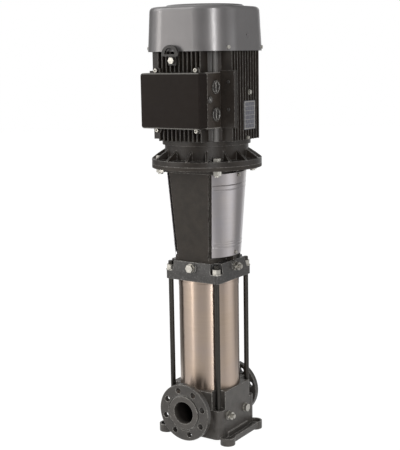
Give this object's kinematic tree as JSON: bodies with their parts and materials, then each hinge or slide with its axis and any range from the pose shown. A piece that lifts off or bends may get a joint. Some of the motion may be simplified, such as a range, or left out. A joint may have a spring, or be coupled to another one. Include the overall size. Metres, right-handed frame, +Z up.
{
  "type": "vertical multistage pump",
  "caption": "Upright in-line multistage pump with loose port flanges, stainless sleeve, staybolts, coupling stool and flange motor.",
  "frame": {"origin": "centre of the foot bolt pattern on the base's underside, on the shaft axis", "axes": "+Z up along the shaft, -Y towards the suction flange and the terminal box, +X towards the vent and drain valves"},
  "size_m": [0.35, 0.374, 1.384],
  "materials": {
    "pump_casting": "satin black-grey paint over cast iron",
    "port_flange": "satin black-grey paint over cast iron",
    "head_casting": "satin black-grey paint over cast iron",
    "stool_casting": "satin black paint over rough casting",
    "motor_paint": "satin black-brown paint",
    "lid_paint": "satin black-brown paint",
    "bracket_paint": "black paint",
    "cover_paint": "satin mid-grey paint on sheet steel",
    "coupling_casting": "bare machined iron",
    "sleeve_steel": "brushed stainless steel",
    "guard_steel": "brushed stainless steel sheet",
    "stage_steel": "pressed stainless steel",
    "shaft_steel": "ground steel",
    "ring_steel": "dark spring steel",
    "hard_ring": "hard ceramic-like grey",
    "core_steel": "laminated electrical steel",
    "zinc_steel": "zinc-plated steel",
    "dark_bolt": "dark phosphated steel",
    "seal_rubber": "matt black rubber",
    "winding_copper": "varnished copper wire",
    "fan_plastic": "matt black plastic",
    "plug_plastic": "matt black plastic",
    "board_plastic": "red-brown moulding",
    "stud_brass": "plain brass"
  },
  "bodies": {
    "pump_frame": {"base": "pump_casting", "flange_retaining_rings": "ring_steel", "base_and_head_plugs": "zinc_steel", "valve_bodies": "zinc_steel", "inlet_part": "stage_steel", "chamber_1": "stage_steel", "chamber_2": "stage_steel", "chamber_3": "stage_steel", "chamber_4": "stage_steel", "chamber_5": "stage_steel", "bearing_bushes": "hard_ring", "stack_straps": "stage_steel", "top_guide": "stage_steel", "outer_sleeve": "sleeve_steel", "sleeve_seals": "seal_rubber", "pump_head": "head_casting", "staybolts": "dark_bolt", "staybolt_washers": "zinc_steel", "hex_nuts": "zinc_steel", "seal_carrier": "stage_steel", "socket_screws": "zinc_steel", "seal_seat": "hard_ring", "motor_stool": "stool_casting", "guard_right": "guard_steel", "guard_left": "guard_steel", "drive_end_shield": "motor_paint", "motor_flange_bolts": "zinc_steel", "motor_frame": "motor_paint", "stator_core": "core_steel", "stator_windings": "winding_copper", "bearing_outer_rings": "shaft_steel", "rear_end_shield": "motor_paint", "fan_cover": "cover_paint", "lifting_brackets": "bracket_paint", "short_hex_bolts": "zinc_steel", "terminal_box": "motor_paint", "terminal_lid": "lid_paint", "terminal_board": "board_plastic", "terminal_studs": "stud_brass", "cable_entry_plugs": "plug_plastic"},
    "rotor": {"impeller_1": "stage_steel", "impeller_2": "stage_steel", "impeller_3": "stage_steel", "impeller_4": "stage_steel", "impeller_5": "stage_steel", "shaft_spacers": "stage_steel", "rotating_seal": "hard_ring", "pump_shaft": "shaft_steel", "coupling_half_front": "coupling_casting", "coupling_half_rear": "coupling_casting", "coupling_screws": "zinc_steel", "coupling_pin": "shaft_steel", "motor_shaft": "shaft_steel", "rotor_core": "core_steel", "bearing_rings_and_balls": "shaft_steel", "cooling_fan": "fan_plastic"},
    "suction_flange_ring": {"suction_flange": "port_flange"},
    "discharge_flange_ring": {"discharge_flange": "port_flange"},
    "drain_screw": {"drain_spindle": "zinc_steel"},
    "vent_screw": {"vent_spindle": "zinc_steel"}
  },
  "joints": [
    {"name": "rotor_spin", "type": "hinge", "parent": "pump_frame", "child": "rotor", "pos_m": [0, 0, 0.6], "axis": [0, 0, 1], "continuous": true},
    {"name": "suction_flange_turn", "type": "hinge", "parent": "pump_frame", "child": "suction_flange_ring", "pos_m": [0, -0.148, 0.105], "axis": [0, 1, 0], "continuous": true},
    {"name": "discharge_flange_turn", "type": "hinge", "parent": "pump_frame", "child": "discharge_flange_ring", "pos_m": [0, 0.148, 0.105], "axis": [0, 1, 0], "continuous": true},
    {"name": "drain_screw_turn", "type": "hinge", "parent": "pump_frame", "child": "drain_screw", "pos_m": [0.12, -0.058, 0.086], "axis": [1, 0, 0], "range_deg": [0, 360]},
    {"name": "vent_screw_turn", "type": "hinge", "parent": "pump_frame", "child": "vent_screw", "pos_m": [0.12, 0, 0.567], "axis": [1, 0, 0], "range_deg": [0, 360]}
  ]
}
